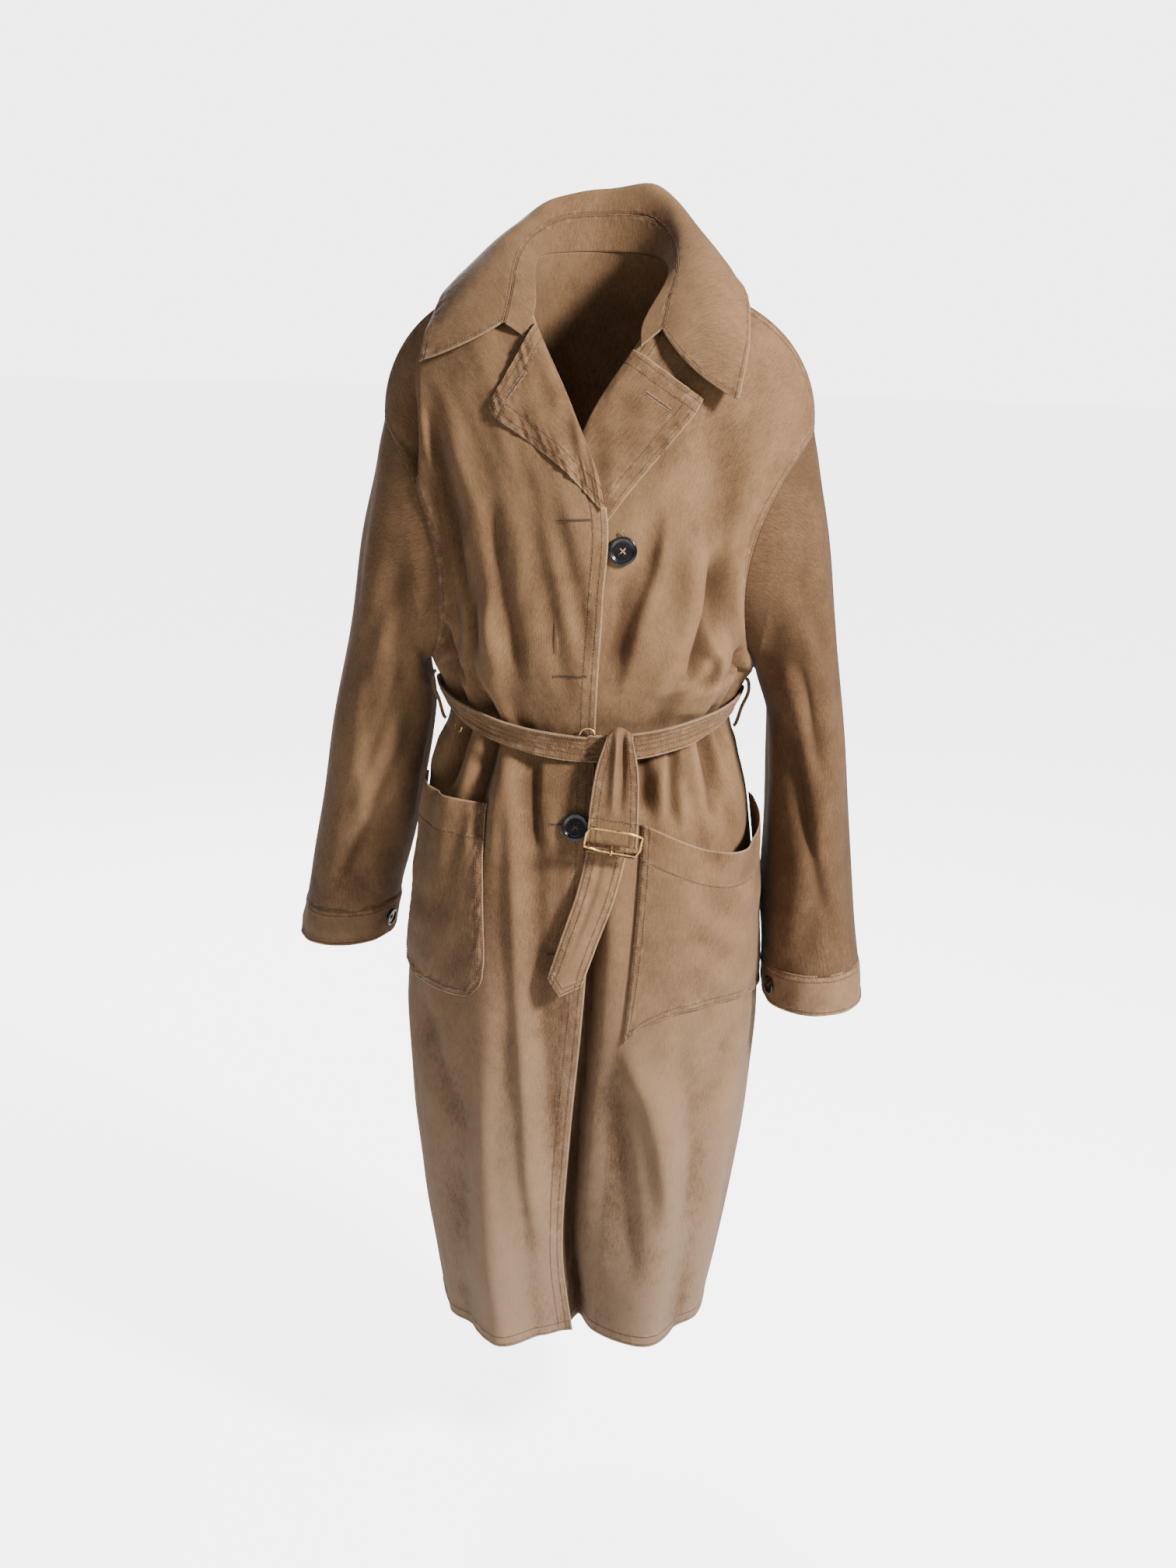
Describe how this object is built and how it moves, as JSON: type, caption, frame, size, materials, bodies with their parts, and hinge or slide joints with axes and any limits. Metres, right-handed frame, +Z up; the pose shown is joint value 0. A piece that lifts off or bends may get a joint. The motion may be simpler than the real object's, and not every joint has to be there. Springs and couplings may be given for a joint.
{
  "type": "trench coat",
  "caption": "Single-breasted belted cotton trench coat with notched lapels, patch pockets and a wire buckle, shown filled out.",
  "frame": {"origin": "midway between the two points where the shoulder seams meet the neckline, at their height", "axes": "+Z up, -Y out of the coat's front, +X to the wearer's left"},
  "size_m": [0.6311, 0.3261, 1.2341],
  "materials": {
    "cloth": "washed tan cotton gabardine with paler worn edges",
    "brass": "thin pale gold wire, lightly worn",
    "button": "polished black, four holes"
  },
  "bodies": {
    "coat": {"front_right": "cloth", "front_left": "cloth", "back": "cloth", "sleeve_right": "cloth", "sleeve_left": "cloth", "cuff_right": "cloth", "cuff_left": "cloth", "collar_stand": "cloth", "collar_fall": "cloth", "lapel_right": "cloth", "lapel_left": "cloth", "pocket_right": "cloth", "pocket_left": "cloth", "belt_band": "cloth", "belt_flap": "cloth", "belt_tail": "cloth", "belt_loop_right": "cloth", "belt_loop_left": "cloth", "belt_ring_front": "brass", "belt_ring_side": "brass", "button_top": "button", "button_waist": "button", "button_cuff_right": "button", "button_cuff_left": "button"},
    "buckle": {"buckle_frame": "brass"},
    "prong": {"buckle_prong": "brass"}
  },
  "joints": [
    {"name": "buckle_swing", "type": "hinge", "parent": "coat", "child": "buckle", "pos_m": [0.025, -0.165, -0.567], "axis": [0.9903, 0, -0.1392], "range_deg": [-24, 145]},
    {"name": "prong_swing", "type": "hinge", "parent": "coat", "child": "prong", "pos_m": [0.025, -0.165, -0.567], "axis": [0.9903, 0, -0.1392], "range_deg": [-7, 5]}
  ]
}
